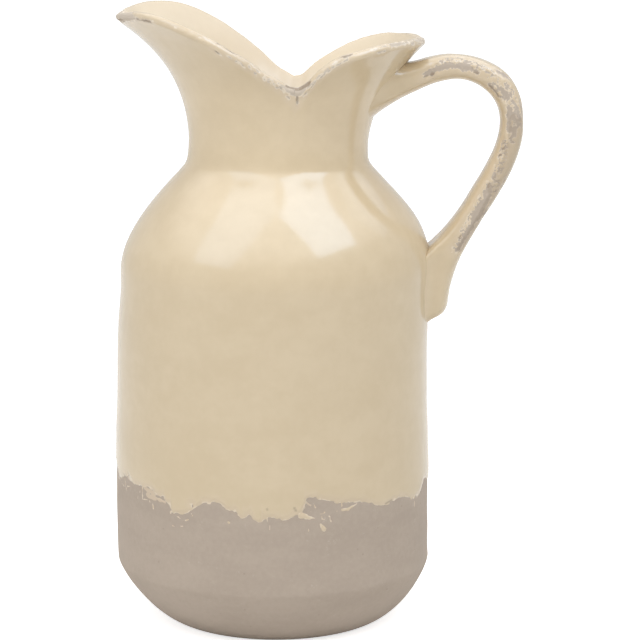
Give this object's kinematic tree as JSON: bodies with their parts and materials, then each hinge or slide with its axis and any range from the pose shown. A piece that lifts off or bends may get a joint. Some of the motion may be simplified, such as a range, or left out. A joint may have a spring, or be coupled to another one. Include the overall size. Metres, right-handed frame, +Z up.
{
  "type": "jug",
  "caption": "Stoneware jug: straight body, sloping shoulder and round neck flaring into a two-lobed mouth notched at its sides, with a strap handle, glazed down to a bare foot band.",
  "frame": {"origin": "middle of the flat foot, on the surface that the jug stands on", "axes": "+Z up the jug, +X towards the handle, -X towards the pouring lip, -Y towards the side with the notch that the picture shows"},
  "size_m": [0.2024, 0.1572, 0.3091],
  "materials": {
    "stoneware": "matte",
    "cream_glaze": "gloss"
  },
  "bodies": {
    "root": {"body": "stoneware", "collar": "stoneware", "handle": "stoneware", "upper_handle_wad": "stoneware", "lower_handle_wad": "stoneware", "outer_glaze": "cream_glaze", "collar_glaze": "cream_glaze", "handle_glaze": "cream_glaze", "liner_glaze": "cream_glaze"}
  },
  "joints": []
}
